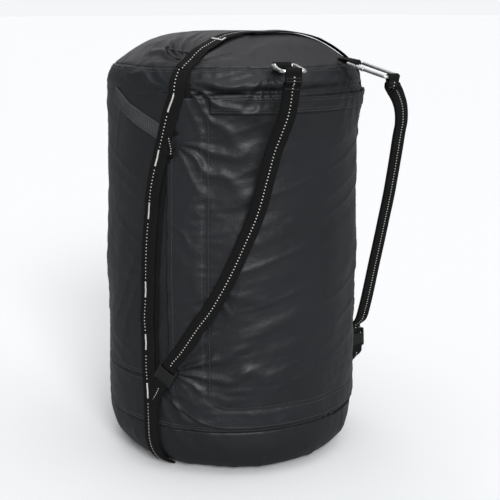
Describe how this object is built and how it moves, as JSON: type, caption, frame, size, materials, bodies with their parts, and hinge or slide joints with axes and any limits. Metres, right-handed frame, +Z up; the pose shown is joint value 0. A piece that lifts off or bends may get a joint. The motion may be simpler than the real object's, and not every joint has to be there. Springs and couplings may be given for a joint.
{
  "type": "rope storage bag",
  "caption": "Soft cylindrical rope bag standing on one end, with a zipped front lid, shoulder straps on metal hooks and ladder locks, side daisy chains and a carrying strap.",
  "frame": {"origin": "under the centre of the base, on the surface that the bag stands on", "axes": "+Z up along the bag, -Y towards the shoulder straps and the wearer, +X to the right seen from the straps"},
  "size_m": [0.3396, 0.3803, 0.5348],
  "materials": {
    "coated_fabric": "thin coated nylon, satin",
    "top_fabric": "thin coated nylon, satin",
    "webbing": "woven polyamide webbing",
    "thread": "light stitching",
    "binding": "woven binding tape",
    "cord": "braided cord",
    "aluminium": "brushed bare metal",
    "zip_metal": "dark painted casting",
    "nylon_coil": "matt",
    "buckle_plastic": "moulded acetal, satin"
  },
  "bodies": {
    "bag": {"base_panel": "coated_fabric", "base_seam_binding": "binding", "lower_wall_band": "coated_fabric", "main_wall": "coated_fabric", "collar_band": "coated_fabric", "top_seam_binding": "binding", "top_panel": "top_fabric", "back_pocket_panel": "coated_fabric", "back_pocket_hem": "coated_fabric", "daisy_backing_left": "webbing", "daisy_backing_right": "webbing", "daisy_chain_left": "webbing", "daisy_chain_right": "webbing", "bar_tacks": "thread", "carry_strap": "webbing", "carry_strap_tacks": "thread", "hook_anchor_left": "webbing", "hook_anchor_right": "webbing", "lock_anchor_left": "webbing", "lock_anchor_right": "webbing", "shoulder_label_strip": "coated_fabric", "tie_cord": "cord", "tie_knot": "cord", "wall_zip_tape": "binding", "wall_zip_coil": "nylon_coil", "zip_end_patches": "webbing"},
    "lid": {"lid_panel": "coated_fabric", "lid_zip_tape": "binding", "lid_zip_coil": "nylon_coil"},
    "slider": {"zip_slider": "zip_metal"},
    "pull": {"zip_pull": "cord"},
    "left_hook": {"hook_left": "aluminium"},
    "right_hook": {"hook_right": "aluminium"},
    "left_strap": {"shoulder_strap_left": "webbing"},
    "right_strap": {"shoulder_strap_right": "webbing"},
    "left_lock": {"ladder_lock_left": "buckle_plastic", "strap_tail_left": "webbing"},
    "right_lock": {"ladder_lock_right": "buckle_plastic", "strap_tail_right": "webbing"}
  },
  "joints": [
    {"name": "lid_hinge", "type": "hinge", "parent": "bag", "child": "lid", "pos_m": [-0.1072, 0.11896, 0.292], "axis": [0, 0, 1], "range_deg": [0, 120]},
    {"name": "zip_slider_run", "type": "hinge", "parent": "lid", "child": "slider", "pos_m": [0, 0, 0.1405], "axis": [0, 0, -1], "range_deg": [0, 54]},
    {"name": "zip_pull_swing", "type": "hinge", "parent": "slider", "child": "pull", "pos_m": [-0.09221, 0.13671, 0.1405], "axis": [0.829, 0.5592, 0], "range_deg": [0, 140]},
    {"name": "left_hook_tilt", "type": "hinge", "parent": "bag", "child": "left_hook", "pos_m": [-0.05275, -0.1595, 0.498], "axis": [-0.866, 0.5, 0], "range_deg": [0, 50]},
    {"name": "right_hook_tilt", "type": "hinge", "parent": "bag", "child": "right_hook", "pos_m": [0.06021, -0.15684, 0.497], "axis": [-0.9962, -0.0872, 0], "range_deg": [0, 50]},
    {"name": "left_strap_swing", "type": "hinge", "parent": "left_hook", "child": "left_strap", "pos_m": [-0.08271, -0.21139, 0.49486], "axis": [-0.866, 0.5, 0], "range_deg": [0, 60]},
    {"name": "right_strap_swing", "type": "hinge", "parent": "right_hook", "child": "right_strap", "pos_m": [0.0653, -0.21508, 0.4835], "axis": [-0.9962, -0.0872, 0], "range_deg": [0, 60]},
    {"name": "left_lock_tilt", "type": "hinge", "parent": "bag", "child": "left_lock", "pos_m": [-0.157, -0.0605, 0.121], "axis": [0.3104, -0.8085, -0.5], "range_deg": [0, 70]},
    {"name": "right_lock_tilt", "type": "hinge", "parent": "bag", "child": "right_lock", "pos_m": [0.163, -0.066, 0.104], "axis": [0.9889, -0.139, 0.0523], "range_deg": [0, 70]}
  ]
}
